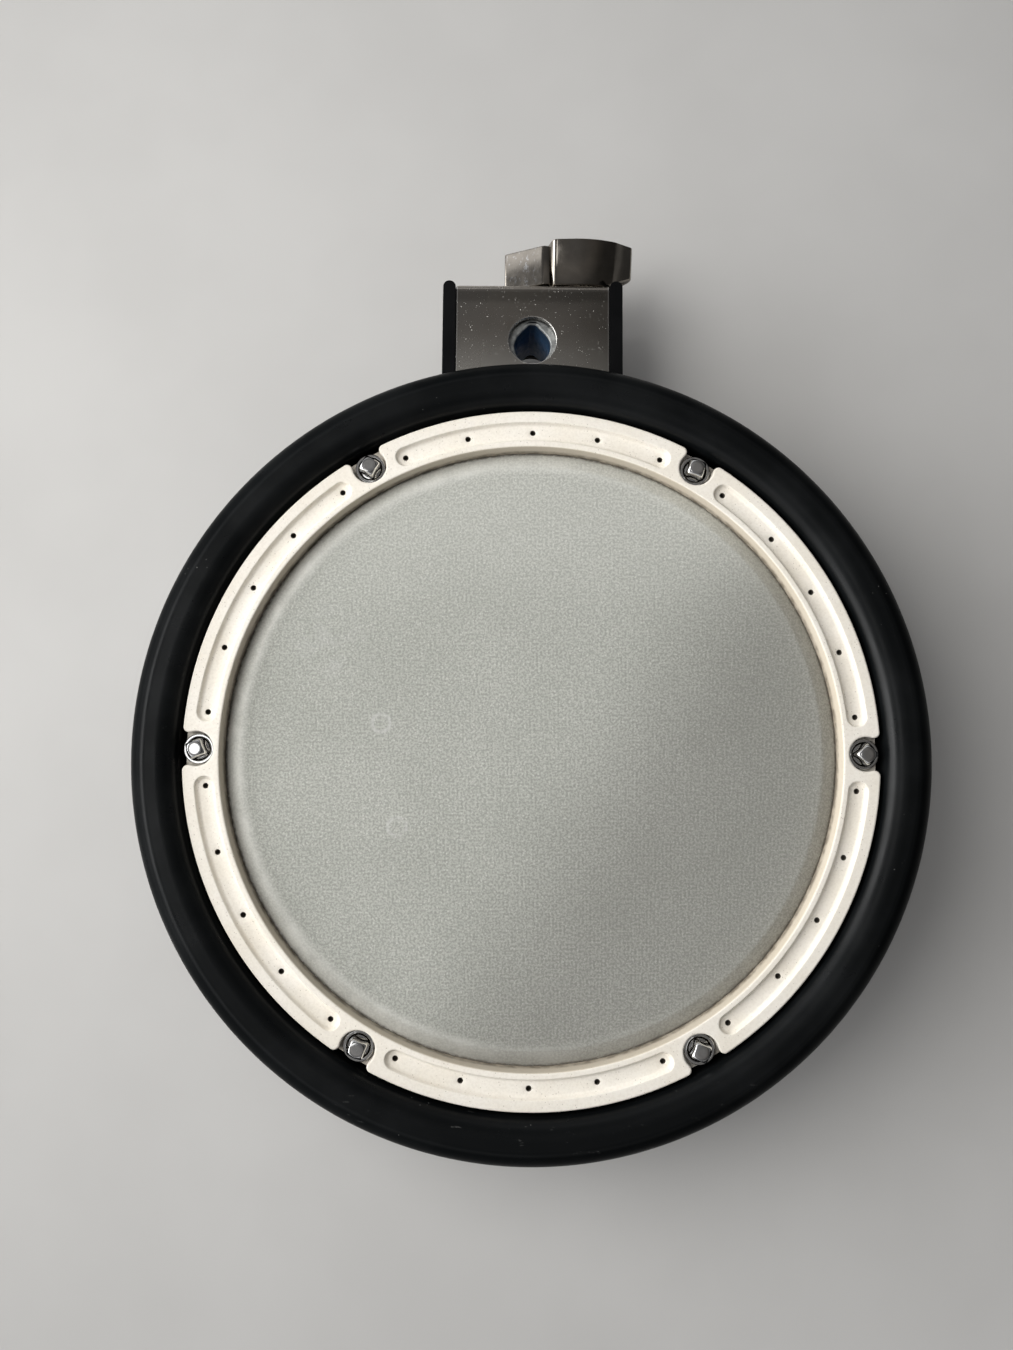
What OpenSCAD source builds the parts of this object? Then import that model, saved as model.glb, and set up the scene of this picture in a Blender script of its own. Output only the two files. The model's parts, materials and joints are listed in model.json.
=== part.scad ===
// Electronic drum pad with a tensioned mesh head, six tension bolts, a rubber rim ring
// and a rod holder. It lies face up: +Z is up, +Y points to the rod holder, and the
// origin is the centre of the bottom face that it rests on. All lengths are in mm.

/* [Rim ring] */
// Outer radius of the rubber rim ring
rim_r = 133.5; // [133:0.1:134]
// Height of the rubber rim ring's top above the rest face
rim_top = 70; // [69.5:0.1:71]
// Height of the rubber rim ring's underside
rim_bottom = 47.2; // [47:0.1:47.6]
// Inner radius of the rubber rim ring at its top lip
rim_lip_r = 117.3; // [117:0.1:117.6]

/* [Hoop] */
// Outer radius of the metal hoop
hoop_r = 115.6; // [115.4:0.1:115.8]
// Inner radius of the metal hoop
hoop_inner_r = 103.2; // [103:0.1:103.4]
// Height of the hoop's top face
hoop_top = 66; // [65.5:0.1:66.5]
// Thickness of the hoop's top flange
hoop_flange_t = 3.6; // [3.4:0.1:3.8]
// Width of the long recessed pockets
pocket_w = 6.6; // [6:0.1:6.8]
// Depth of the long recessed pockets
pocket_depth = 1.8; // [1:0.1:2]
// Radius of the small holes in the pockets
vent_r = 0.9; // [0.7:0.05:1.1]
// Angle between neighbouring small holes
vent_step = 11.76; // [11.5:0.02:12]

/* [Head] */
// Height of the mesh head's playing surface
head_z = 60.8; // [60.6:0.1:61]
// Thickness of the mesh
head_t = 0.5; // [0.4:0.1:0.6]
// Radius of the bearing edge's crest
crest_r = 97; // [96.5:0.1:97.5]

/* [Tension bolts] */
// Radius of the circle that the tension bolts stand on
bolt_circle_r = 111; // [110.9:0.05:111.1]
// Radius of a tension bolt's shank
bolt_r = 2.75; // [2.7:0.01:2.78]
// Side of a tension bolt's square head
bolt_square = 5.6; // [5.4:0.1:5.8]
// Height of a tension bolt's square head
bolt_head_h = 5.3; // [5:0.1:5.6]
// Outer radius of the bright cup under a bolt head
cup_r = 5.1; // [5:0.05:5.15]

/* [Rod holder] */
// Width of the steel holder box
box_w = 56; // [55:0.5:56]
// Height of the holder box's underside
box_bottom = 12; // [11.5:0.5:12.5]
// Height of the holder box's top face
box_top = 46; // [45.8:0.1:46.2]
// Distance from the pad's axis to the box's inner face
box_near = 132; // [132:0.1:132.2]
// Distance from the pad's axis to the box's outer face
box_far = 170.8; // [170.5:0.1:171]
// Distance from the pad's axis to the rod hole's axis
rod_y = 149.3; // [149:0.1:149.6]
// Radius of the rod holes through the box
rod_hole_r = 8.6; // [8.4:0.1:8.8]
// Radius of the round part of the eye's opening
eye_r = 6.6; // [6.4:0.05:6.8]
// Radius of the eye bolt's shank
eye_shank_r = 4; // [3.9:0.05:4.05]
// Thickness of the two side plates beside the box
cheek_t = 4.6; // [4:0.1:5]

/* [Output jack] */
// Direction of the output jack, from +X towards +Y
jack_angle = 135; // [133:1:137]
// Radius of the jack's plug hole
jack_bore_r = 3.25; // [3.2:0.01:3.3]

/* [Hidden] */
$fn = 96;

eps = 0.01;
lug_count = 6;
lug_step = 360 / lug_count;

// Lower case: a shallow bowl, drawn as radius and height
case_flat_r = 110;
case_rim_r = 130.5;
case_wall = 3;
case_top = 42.8;
case_steps = 14;
case_column_r = 5;
case_rib_count = 12;
groove_in_r = 34;
groove_out_r = 96;
groove_depth = 0.6;

// Frame under the head
flange_bottom = 43;
flange_top = 46;
flange_r = 131;
shell_out_r = 99.6;
shell_in_r = 96;
shell_bottom = 24;
shell_ledge_r = 86;
ledge_t = 3;
lip_in_r = 119;
lip_out_r = 122;
lip_top = 60;
mesh_gap = 0.35;
crest_round = 2.6;
crest_z = head_z - head_t - mesh_gap;
boss_r = 6.5;
boss_bottom = 33;
boss_top = 50;
insert_r = 4;
insert_bottom = 36;
post_circle_r = 104;
post_r = 4.5;
post_bottom = 20;
screw_r = 1.5;

// Lug seats in the hoop
notch_r = 5.75;
notch_half_w = 5.4;
notch_corner_r = 1.8;
seat_top = 60.5;
seat_bottom = 57;
hoop_bottom = 57.8;
bolt_hole_r = 3.1;
cup_h = 2;
cup_floor_t = 0.6;
cup_bore_r = 4.05;
bolt_flange_r = 3.6;
bolt_flange_t = 0.9;
bolt_tip = 34;
bolt_seat_z = seat_top + cup_floor_t;
pocket_r = 108.5;
vent_half_count = 2;

// Flesh hoop of the mesh head
flesh_out_r = 107.8;
flesh_bottom = 51;
flesh_top = hoop_bottom;

// Sensor stack
plate_z = shell_bottom + ledge_t;
plate_t = 1.5;
plate_r = 94;
plate_hole_r = 22;
plate_hole_circle = 60;
pad_h = 5.5;
pad_z = plate_z + plate_t;
piezo_z = pad_z + pad_h;
piezo_r = 17.5;
piezo_t = 0.5;
ceramic_r = 12.5;
ceramic_t = 0.4;
cone_z = piezo_z + piezo_t + ceramic_t;
cone_top_z = crest_z;
rim_piezo_r = 13.5;
rim_piezo_pos = [0, -60];
tape_t = 1;

// Output jack
jack_z = 14;
panel_out = 112;
panel_in = 109;
jack_len = 24;
jack_w = 17;
jack_h = 15;
jack_sleeve_r = 4.5;
jack_tip = 118;
board_z = 4.9;
board_t = 1.6;
board_mid = 95;
board_screw_x = 83.5;
board_screw_y = 13;

// Rod holder
sheet_t = 2;
bend_r = 3;
axis_z = (box_top + box_bottom) / 2;
box_half = box_w / 2;
cheek_gap = 0.1;
cheek_in = box_half + cheek_gap;
cheek_out = cheek_in + cheek_t;
cheek_far = 171.4;
cheek_top = 46.6;
cheek_bottom = 9.5;
cheek_near = 118;
shelf_far = 164;
shelf_hole_r = 8;
pad_plate_in = 128.8;
eye_y = 148.1;
eye_out_r = 10.3;
eye_half_h = 14.4;
eye_chamfer = 1.2;
neck_y = 161;
shank_end = 186.5;
washer_t = 1.8;
washer_r = 9;
nut_near = box_far + washer_t + 0.1;
nut_far = 187.8;
wing_near = 172.9;
wing_tilt = 22;
wing_drop = 1.5;
wing_end_x = 38;
nut_bore_r = eye_shank_r + 0.06;
nut_hub_r = 9.2;
holder_screw_x = 20;
holder_screw_dz = 8.5;

// A fan of points on an arc, from angle a0 to a1 in n steps
function arc(cx, cy, r, a0, a1, n) =
    [for (i = [0 : n]) let (a = a0 + (a1 - a0) * i / n) [cx + r * cos(a), cy + r * sin(a)]];

// A point on a Catmull-Rom curve between b and c
function curve_point(a, b, c, d, t) =
    0.5 * (2 * b + (c - a) * t + (2 * a - 5 * b + 4 * c - d) * t * t
    + (3 * b - a - 3 * c + d) * t * t * t);

// A route's points with n steps on every stretch
function smooth_route(p, n) = [
    for (i = [0 : len(p) - 2], k = [0 : n - 1])
        curve_point(p[max(i - 1, 0)], p[i], p[i + 1], p[min(i + 2, len(p) - 1)], k / n),
    p[len(p) - 1]
];

function unit(v) = v / norm(v);

function route_dir(p, i) = unit(p[min(i + 1, len(p) - 1)] - p[max(i - 1, 0)]);

// One ring of a tube: sides points round the route's point i
function ring_points(p, i, r, sides) =
    let (d = route_dir(p, i), side = unit(cross(d, [0.13, 0.21, 1])), up = cross(side, d))
    [for (k = [0 : sides - 1]) p[i] + r * (cos(360 * k / sides) * side + sin(360 * k / sides) * up)];

// A round wire along a route
module tube(route, r, sides) {
    rings = len(route);
    points = [for (i = [0 : rings - 1]) each ring_points(route, i, r, sides)];
    walls = [
        for (i = [0 : rings - 2], k = [0 : sides - 1])
            let (a = i * sides + k, b = i * sides + (k + 1) % sides)
            [a, b, b + sides, a + sides]
    ];
    start = [for (k = [0 : sides - 1]) sides - 1 - k];
    end = [for (k = [0 : sides - 1]) (rings - 1) * sides + k];
    polyhedron(points = points, faces = concat(walls, [start, end]));
}

module at_lugs() {
    for (i = [0 : lug_count - 1]) rotate(i * lug_step) translate([bolt_circle_r, 0, 0]) children();
}

module between_lugs(r) {
    for (i = [0 : lug_count - 1]) rotate((i + 0.5) * lug_step) translate([r, 0, 0]) children();
}

// A plain pan head screw that points down from its head's seat at z = 0
module pan_screw(head_r, head_h, shank_r, shank_len) {
    difference() {
        cylinder(r = head_r, h = head_h);
        for (a = [0, 90]) rotate(a) translate([-head_r * 0.62, -0.35, head_h - 0.8])
            cube([head_r * 1.24, 0.7, 1]);
    }
    translate([0, 0, -shank_len]) cylinder(r = shank_r, h = shank_len + eps);
}

// ---- lower case ----

// A quarter ellipse from the flat bottom to the rim, moved inwards by the wall w
function bowl_side(w) = [
    for (i = [0 : case_steps]) let (t = 90 * i / case_steps)
        [case_flat_r - w + (case_rim_r - case_flat_r) * sin(t), w + (case_top - w) * (1 - cos(t))]
];

module case_solid(w) {
    rotate_extrude() polygon(concat([[0, w]], bowl_side(w), [[0, case_top]]));
}

module case_bowl() {
    difference() {
        case_solid(0);
        translate([0, 0, eps]) case_solid(case_wall);
    }
}

module case_columns() {
    between_lugs(post_circle_r) cylinder(r = case_column_r, h = post_bottom - 0.1);
}

module case_ribs() {
    for (i = [0 : case_rib_count - 1]) rotate((i + 0.5) * 360 / case_rib_count)
        translate([30, -0.9, case_wall - eps]) cube([74, 1.8, 5]);
    for (r = [30, 68]) translate([0, 0, case_wall - eps])
        difference() {
            cylinder(r = r + 0.9, h = 5);
            translate([0, 0, -1]) cylinder(r = r - 0.9, h = 7);
        }
}

// A side plate beside the holder box, with a rounded outer end
module cheek(x) {
    translate([x, cheek_near, cheek_bottom])
        cube([cheek_t, cheek_far - cheek_t / 2 - cheek_near, cheek_top - cheek_bottom]);
    translate([x + cheek_t / 2, cheek_far - cheek_t / 2, cheek_bottom])
        cylinder(d = cheek_t, h = cheek_top - cheek_bottom);
}

module cheek_round_cut() {
    // Takes the lower outer corner off both side plates
    corner_r = 14;
    translate([-cheek_out - 1, cheek_far - corner_r, cheek_bottom + corner_r]) rotate([0, 90, 0])
        linear_extrude(2 * cheek_out + 2) difference() {
            translate([0, 0]) square([corner_r + 1, corner_r + 1]);
            circle(corner_r);
        }
}

module mount_block() {
    difference() {
        union() {
            for (x = [-cheek_out, cheek_in]) cheek(x);
            translate([-cheek_out, cheek_near, cheek_bottom])
                cube([2 * cheek_out, box_near - 0.1 - cheek_near, case_top - cheek_bottom]);
            // Shelf under the holder box, which ties the side plates together
            translate([-cheek_in - eps, cheek_near, cheek_bottom])
                cube([2 * cheek_in + 2 * eps, shelf_far - cheek_near, box_bottom - 0.1 - cheek_bottom]);
        }
        translate([0, rod_y, 0]) cylinder(r = shelf_hole_r, h = box_bottom);
        cheek_round_cut();
        translate([0, 0, case_top]) cylinder(r = flange_r + 0.3, h = 10);
        translate([0, 0, -1]) cylinder(r = 108, h = 60);
    }
}

module jack_frame(w, h, near, far, z) {
    rotate(jack_angle) translate([near, -w / 2, z - h / 2]) cube([far - near, w, h]);
}

module jack_axis(near) {
    rotate(jack_angle) translate([near, 0, jack_z]) rotate([0, 90, 0]) children();
}

module lower_case() {
    color([0.045, 0.046, 0.05])
    difference() {
        union() {
            difference() {
                union() {
                    case_bowl();
                    intersection() {
                        case_solid(0);
                        jack_frame(42, 23, panel_in, 130, jack_z + 0.5);
                    }
                    case_columns();
                    difference() {
                        case_ribs();
                        jack_frame(44, 30, 74, 110, jack_z);
                    }
                }
                // Room behind the mount's wall
                translate([-cheek_in, 100, 12]) cube([2 * cheek_in, pad_plate_in - 100, case_top]);
            }
            difference() {
                mount_block();
                translate([-cheek_in, 100, 12]) cube([2 * cheek_in, pad_plate_in - 100, case_top]);
            }
            for (y = [-board_screw_y, board_screw_y]) rotate(jack_angle)
                translate([board_screw_x, y, case_wall - eps]) cylinder(r = 3, h = board_z - case_wall + eps);
        }
        // Jack recess and its panel hole
        jack_frame(34, 17, panel_out, 140, jack_z);
        jack_axis(panel_in - 1) cylinder(r = jack_sleeve_r + 0.1, h = 10);
        for (y = [-board_screw_y, board_screw_y]) rotate(jack_angle)
            translate([board_screw_x, y, 1]) cylinder(r = 1, h = 10);
        // Screw holes with their counterbores
        between_lugs(post_circle_r) {
            translate([0, 0, -1]) cylinder(r = screw_r + 0.3, h = 40);
            translate([0, 0, -1]) cylinder(r = 3.7, h = 7);
        }
        for (x = [-1, 1], dz = [-1, 1])
            translate([x * holder_screw_x, 120, axis_z + dz * holder_screw_dz]) rotate([-90, 0, 0])
                cylinder(r = 2.2, h = 20);
        // Shallow ring groove between the middle and the edge of the rest face
        translate([0, 0, -1]) difference() {
            cylinder(r = groove_out_r, h = 1 + groove_depth);
            translate([0, 0, -1]) cylinder(r = groove_in_r, h = 4);
        }
    }
}

// ---- frame ----

module frame_profile() {
    rotate_extrude() polygon(concat(
        [[shell_ledge_r, shell_bottom], [shell_out_r, shell_bottom], [shell_out_r, flange_bottom]],
        [[flange_r, flange_bottom], [flange_r, flange_top], [lip_out_r, flange_top]],
        [[lip_out_r, lip_top - 1], [lip_out_r - 1, lip_top], [lip_in_r + 1, lip_top], [lip_in_r, lip_top - 1]],
        [[lip_in_r, flange_top], [shell_out_r, flange_top]],
        arc(crest_r, crest_z - crest_round, crest_round, 0, 180, 12),
        [[crest_r - crest_round, shell_bottom + 14], [shell_in_r - 1.6, plate_z], [shell_ledge_r, plate_z]]
    ));
}

module drum_frame() {
    color([0.06, 0.06, 0.065])
    difference() {
        union() {
            frame_profile();
            at_lugs() translate([0, 0, boss_bottom]) cylinder(r = boss_r, h = boss_top - boss_bottom);
            // Webs that tie each boss to the shell
            for (i = [0 : lug_count - 1]) rotate(i * lug_step)
                translate([shell_out_r - 1, -1.2, boss_bottom]) cube([12, 2.4, flange_top - boss_bottom]);
            between_lugs(post_circle_r) translate([0, 0, post_bottom])
                cylinder(r = post_r, h = flange_top - post_bottom);
        }
        at_lugs() {
            translate([0, 0, insert_bottom]) cylinder(r = insert_r, h = 20);
            translate([0, 0, boss_bottom - 1]) cylinder(r = bolt_hole_r, h = 10);
        }
        between_lugs(post_circle_r) translate([0, 0, post_bottom - 1]) cylinder(r = screw_r, h = 15);
        for (a = [0 : 90 : 270]) rotate(a) translate([90, 0, shell_bottom - 1]) cylinder(r = 1.25, h = 6);
    }
}

module threaded_inserts() {
    color([0.75, 0.6, 0.3])
    at_lugs() translate([0, 0, insert_bottom]) difference() {
        cylinder(r = insert_r, h = boss_top - insert_bottom);
        translate([0, 0, -1]) cylinder(r = bolt_r + 0.06, h = 30);
    }
}

// ---- rubber rim ring ----

module rubber_rim() {
    foot_r = 4.2;
    shoulder_r = 9;
    inner_round = 6.9;
    color([0.03, 0.03, 0.032])
    rotate_extrude() polygon(concat(
        [[lip_out_r, rim_bottom]],
        arc(rim_r - foot_r - 1, rim_bottom + foot_r, foot_r, -90, -10, 6),
        arc(rim_r - shoulder_r, rim_top - shoulder_r, shoulder_r, -6, 90, 14),
        arc(rim_lip_r + inner_round, rim_top - inner_round, inner_round, 90, 180, 10),
        [[rim_lip_r, rim_bottom + 2]],
        [[lip_in_r, rim_bottom + 2]],
        [[lip_in_r, lip_top - 1], [lip_in_r + 1, lip_top], [lip_out_r - 1, lip_top], [lip_out_r, lip_top - 1]]
    ));
}

// ---- hoop ----

module hoop_profile() {
    edge = 0.8;
    rotate_extrude() polygon(concat(
        arc(hoop_r - edge, hoop_top - edge, edge, 0, 90, 4),
        arc(hoop_inner_r + edge, hoop_top - edge, edge, 90, 180, 4),
        [[hoop_inner_r, hoop_bottom], [hoop_inner_r + 3, hoop_bottom]],
        [[hoop_inner_r + 3, hoop_top - hoop_flange_t], [hoop_r - 2.2, hoop_top - hoop_flange_t]],
        [[hoop_r - 2.2, seat_bottom], [hoop_r, seat_bottom]]
    ));
}

// The outline of one lug notch, seen from above, with the bolt's axis at the origin
module notch_outline() {
    far = hoop_r - bolt_circle_r;
    circle(notch_r);
    translate([0, -notch_half_w]) square([far + 3, 2 * notch_half_w]);
    for (s = [-1, 1]) difference() {
        translate([far - notch_corner_r, s > 0 ? notch_half_w - eps : -notch_half_w - notch_corner_r])
            square([notch_corner_r + 3, notch_corner_r + eps]);
        translate([far - notch_corner_r, s * (notch_half_w + notch_corner_r)]) circle(notch_corner_r);
    }
}

// A long recess that follows the hoop, with round ends at the last small holes
module pocket_cut() {
    half = vent_half_count * vent_step;
    translate([0, 0, hoop_top - pocket_depth]) {
        rotate([0, 0, -half]) rotate_extrude(angle = 2 * half)
            translate([pocket_r - pocket_w / 2, 0]) square([pocket_w, 10]);
        for (s = [-1, 1]) rotate(s * half) translate([pocket_r, 0, 0]) cylinder(d = pocket_w, h = 10);
    }
}

module hoop() {
    color([0.88, 0.85, 0.78])
    difference() {
        union() {
            difference() {
                hoop_profile();
                at_lugs() translate([0, 0, seat_top]) linear_extrude(20) notch_outline();
            }
            // Seats for the cups
            intersection() {
                at_lugs() translate([-7.8, -7.5, seat_bottom]) cube([20, 15, seat_top - seat_bottom]);
                difference() {
                    cylinder(r = hoop_r, h = 100);
                    translate([0, 0, -1]) cylinder(r = hoop_inner_r + 2.5, h = 102);
                }
                translate([-200, -200, hoop_bottom]) cube([400, 400, 10]);
            }
            // Walls that close the notches below the flange
            at_lugs() translate([0, 0, hoop_bottom]) difference() {
                linear_extrude(hoop_top - hoop_flange_t - hoop_bottom + eps) intersection() {
                    circle(notch_r + 1.6);
                    translate([-20, -20]) square([24.1, 40]);
                }
                translate([0, 0, seat_top - hoop_bottom]) cylinder(r = notch_r, h = 20);
            }
        }
        at_lugs() translate([0, 0, hoop_bottom - 5]) cylinder(r = bolt_hole_r, h = 20);
        for (i = [0 : lug_count - 1]) rotate((i + 0.5) * lug_step) {
            pocket_cut();
            for (k = [-vent_half_count : vent_half_count]) rotate(k * vent_step)
                translate([pocket_r, 0, hoop_top - 20]) cylinder(r = vent_r, h = 30);
        }
    }
}

// ---- head ----

// The mesh is flat inside the crest, bends over it and runs down to the flesh hoop
module head_mesh() {
    under_r = crest_round + mesh_gap;
    bend_z = crest_z - crest_round;
    skirt_in_r = hoop_inner_r - head_t;
    edge_z = head_z - 2.5;
    bend_end = 66;
    color([0.72, 0.72, 0.7])
    rotate_extrude() polygon(concat(
        [[0, head_z - head_t]],
        arc(crest_r, bend_z, under_r, 90, bend_end, 4),
        [[skirt_in_r, edge_z - head_t], [skirt_in_r, flesh_bottom + 1]],
        [[hoop_inner_r, flesh_bottom + 1], [hoop_inner_r, edge_z]],
        arc(crest_r, bend_z, under_r + head_t, bend_end, 90, 4),
        [[0, head_z]]
    ));
}

module flesh_hoop() {
    color([0.7, 0.71, 0.72])
    rotate_extrude() polygon([
        [hoop_inner_r, flesh_bottom], [flesh_out_r - 1, flesh_bottom], [flesh_out_r, flesh_bottom + 1],
        [flesh_out_r, flesh_top - 1.2], [flesh_out_r - 1.2, flesh_top], [hoop_inner_r, flesh_top]
    ]);
}

// ---- tension bolts, cups ----

module tension_bolt(i) {
    top_r = 2.2;
    chamfer_h = 1;
    color([0.75, 0.76, 0.77])
    rotate((i - 1) * lug_step) translate([bolt_circle_r, 0, 0]) {
        translate([0, 0, bolt_tip + 1]) cylinder(r = bolt_r, h = bolt_seat_z - bolt_tip - 1 + eps);
        translate([0, 0, bolt_tip]) cylinder(r1 = bolt_r - 0.9, r2 = bolt_r, h = 1 + eps);
        translate([0, 0, bolt_seat_z]) cylinder(r = bolt_flange_r, h = bolt_flange_t);
        // Square head, its corners taken down to a round top
        translate([0, 0, bolt_seat_z + bolt_flange_t - eps]) intersection() {
            translate([-bolt_square / 2, -bolt_square / 2, 0]) cube([bolt_square, bolt_square, bolt_head_h]);
            union() {
                cylinder(r = bolt_square * 0.68, h = bolt_head_h - chamfer_h - 0.5 + eps);
                translate([0, 0, bolt_head_h - chamfer_h - 0.5])
                    cylinder(r1 = bolt_square * 0.68, r2 = top_r, h = chamfer_h + 0.5);
            }
        }
    }
}

module bolt_cups() {
    color([0.8, 0.81, 0.82])
    at_lugs() translate([0, 0, seat_top]) rotate_extrude() polygon(concat(
        [[bolt_hole_r, 0], [cup_r - 0.2, 0]],
        arc(cup_r - 0.5, cup_h - 0.5, 0.5, 0, 90, 4),
        [[cup_bore_r + 0.2, cup_h], [cup_bore_r, cup_h - 0.2], [cup_bore_r, cup_floor_t]],
        [[bolt_hole_r, cup_floor_t]]
    ));
}

// ---- sensors ----

module sensor_plate() {
    color([0.6, 0.61, 0.62])
    translate([0, 0, plate_z]) difference() {
        cylinder(r = plate_r, h = plate_t);
        for (a = [45 : 90 : 315]) rotate(a) translate([plate_hole_circle, 0, -1])
            cylinder(r = plate_hole_r, h = 5);
        for (a = [0 : 90 : 270]) rotate(a) translate([90, 0, -1]) cylinder(r = 1.6, h = 5);
    }
}

module sensor_pad() {
    color([0.1, 0.1, 0.1])
    translate([0, 0, pad_z]) cylinder(r = 20, h = pad_h);
}

module head_piezo() {
    color([0.8, 0.65, 0.3])
    translate([0, 0, piezo_z]) cylinder(r = piezo_r, h = piezo_t);
}

module head_piezo_ceramic() {
    color([0.9, 0.9, 0.86])
    translate([0, 0, piezo_z + piezo_t]) cylinder(r = ceramic_r, h = ceramic_t);
}

module foam_cone() {
    color([0.13, 0.13, 0.14])
    translate([0, 0, cone_z]) cylinder(r1 = 12, r2 = 5, h = cone_top_z - cone_z);
}

module rim_piezo() {
    color([0.8, 0.65, 0.3])
    translate([rim_piezo_pos[0], rim_piezo_pos[1], plate_z - tape_t - piezo_t])
        cylinder(r = rim_piezo_r, h = piezo_t);
}

module rim_piezo_tape() {
    color([0.9, 0.9, 0.92])
    translate([rim_piezo_pos[0], rim_piezo_pos[1], plate_z - tape_t])
        cylinder(r = rim_piezo_r - 1, h = tape_t);
}

// ---- output jack ----

module jack_board() {
    board_len = 32;
    board_w = 34;
    color([0.1, 0.3, 0.14])
    difference() {
        rotate(jack_angle) translate([board_mid - board_len / 2, -board_w / 2, board_z])
            cube([board_len - 4, board_w, board_t]);
        for (y = [-board_screw_y, board_screw_y]) rotate(jack_angle)
            translate([board_screw_x, y, 0]) cylinder(r = 1.3, h = 20);
    }
}

module lead_header() {
    color([0.9, 0.9, 0.85])
    rotate(jack_angle) translate([79.6, -5, board_z + board_t]) cube([4.4, 10, 6]);
}

module jack_body() {
    color([0.05, 0.05, 0.055])
    difference() {
        union() {
            jack_frame(jack_w, jack_h, panel_in - jack_len, panel_in, jack_z);
            jack_axis(panel_in - eps) cylinder(r = jack_sleeve_r, h = jack_tip - panel_in);
        }
        jack_axis(panel_in - jack_len + 3) cylinder(r = jack_bore_r, h = 60);
    }
}

module jack_washer() {
    color([0.75, 0.76, 0.77])
    jack_axis(panel_out) difference() {
        cylinder(r = 7.5, h = 0.8);
        translate([0, 0, -1]) cylinder(r = jack_sleeve_r, h = 5);
    }
}

module jack_nut() {
    color([0.75, 0.76, 0.77])
    jack_axis(panel_out + 0.8) difference() {
        intersection() {
            cylinder(r = 7.4, h = 2.6, $fn = 6);
            cylinder(r1 = 6.6, r2 = 7.9, h = 1.3 * 2);
        }
        translate([0, 0, -1]) cylinder(r = jack_sleeve_r, h = 5);
    }
}

// Routes of the inner leads, from each sensor to the board's header
head_route = [
    [-12, 11, 35.5], [-19, 17, 36.6], [-27, 26, 34.5], [-35, 36, 28], [-40, 42, 21],
    [-45, 47, 14], [-50, 52, 10.5], [-54, 54.5, 10]
];
rim_route = [
    [-9, -52, 24.2], [-16, -40, 22.5], [-26, -20, 17], [-34, 4, 12.5], [-42, 26, 10.5],
    [-49, 42, 10], [-54, 50, 9.5], [-56.6, 53.4, 9.5]
];

module head_lead() {
    color([0.6, 0.1, 0.1])
    tube(smooth_route(head_route, 3), 0.9, 8);
}

module rim_lead() {
    color([0.1, 0.1, 0.1])
    tube(smooth_route(rim_route, 4), 0.9, 8);
}

// ---- rod holder ----

// A rectangle with four rounded corners, its lower left corner at the origin
module round_rect(w, h, r) {
    translate([r, 0]) square([w - 2 * r, h]);
    translate([0, r]) square([w, h - 2 * r]);
    for (x = [r, w - r], y = [r, h - r]) translate([x, y]) circle(r);
}

module holder_box() {
    len_y = box_far - box_near;
    len_z = box_top - box_bottom;
    lead_in = 0.3;
    color([0.62, 0.61, 0.6])
    difference() {
        translate([-box_half, box_near, box_bottom]) rotate([90, 0, 90]) linear_extrude(box_w) difference() {
            round_rect(len_y, len_z, bend_r);
            translate([sheet_t, sheet_t])
                round_rect(len_y - 2 * sheet_t, len_z - 2 * sheet_t, bend_r - sheet_t);
        }
        translate([0, rod_y, box_bottom - 1]) cylinder(r = rod_hole_r, h = 60);
        // Small lead-ins at both rod holes
        translate([0, rod_y, box_top - lead_in]) cylinder(r1 = rod_hole_r, r2 = rod_hole_r + 1, h = 1);
        translate([0, rod_y, box_bottom + lead_in - 1]) cylinder(r1 = rod_hole_r + 1, r2 = rod_hole_r, h = 1);
        translate([0, box_far - 10, axis_z]) rotate([-90, 0, 0]) cylinder(r = eye_shank_r + 0.4, h = 20);
        for (x = [-1, 1], dz = [-1, 1])
            translate([x * holder_screw_x, 130, axis_z + dz * holder_screw_dz]) rotate([-90, 0, 0])
                cylinder(r = 2, h = 10);
    }
}

module eye_opening() {
    flat_half = 1.7;
    apex_y = 7.9;
    touch = 35;
    circle(eye_r);
    polygon([
        [eye_r * cos(touch), eye_r * sin(touch)], [flat_half, apex_y],
        [-flat_half, apex_y], [-eye_r * cos(touch), eye_r * sin(touch)], [0, 0]
    ]);
}

module eye_bolt() {
    color([0.8, 0.8, 0.8])
    difference() {
        union() {
            translate([0, eye_y, axis_z - eye_half_h]) rotate_extrude() polygon([
                [0, 0], [eye_out_r - eye_chamfer, 0], [eye_out_r, eye_chamfer],
                [eye_out_r, 2 * eye_half_h - eye_chamfer],
                [eye_out_r - eye_chamfer, 2 * eye_half_h], [0, 2 * eye_half_h]
            ]);
            translate([0, eye_y + 8, axis_z]) rotate([-90, 0, 0])
                cylinder(r1 = 6.4, r2 = eye_shank_r, h = neck_y - eye_y - 8);
            translate([0, neck_y - eps, axis_z]) rotate([-90, 0, 0])
                cylinder(r = eye_shank_r, h = shank_end - neck_y - 0.8 + eps);
            translate([0, shank_end - 0.8 - eps, axis_z]) rotate([-90, 0, 0])
                cylinder(r1 = eye_shank_r, r2 = eye_shank_r - 0.8, h = 0.8);
        }
        translate([0, eye_y, axis_z - eye_half_h - 1]) linear_extrude(2 * eye_half_h + 2) eye_opening();
    }
}

module nut_washer() {
    color([0.75, 0.75, 0.74])
    translate([0, box_far, axis_z]) rotate([-90, 0, 0]) difference() {
        cylinder(r = washer_r, h = washer_t);
        translate([0, 0, -1]) cylinder(r = eye_shank_r + 0.3, h = 10);
    }
}

// Outlines of the wing nut's wings seen along its axis: x to the right, y up, the axis at
// 0,0. The short one on the left is flat, the long one on the right is curved.
module short_wing_outline() {
    polygon([[-8, 0.5], [-10.4, 3.6], [-10.4, 5.2], [3.9, 12.3], [6.5, 11.8], [7, 1]]);
}

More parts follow.
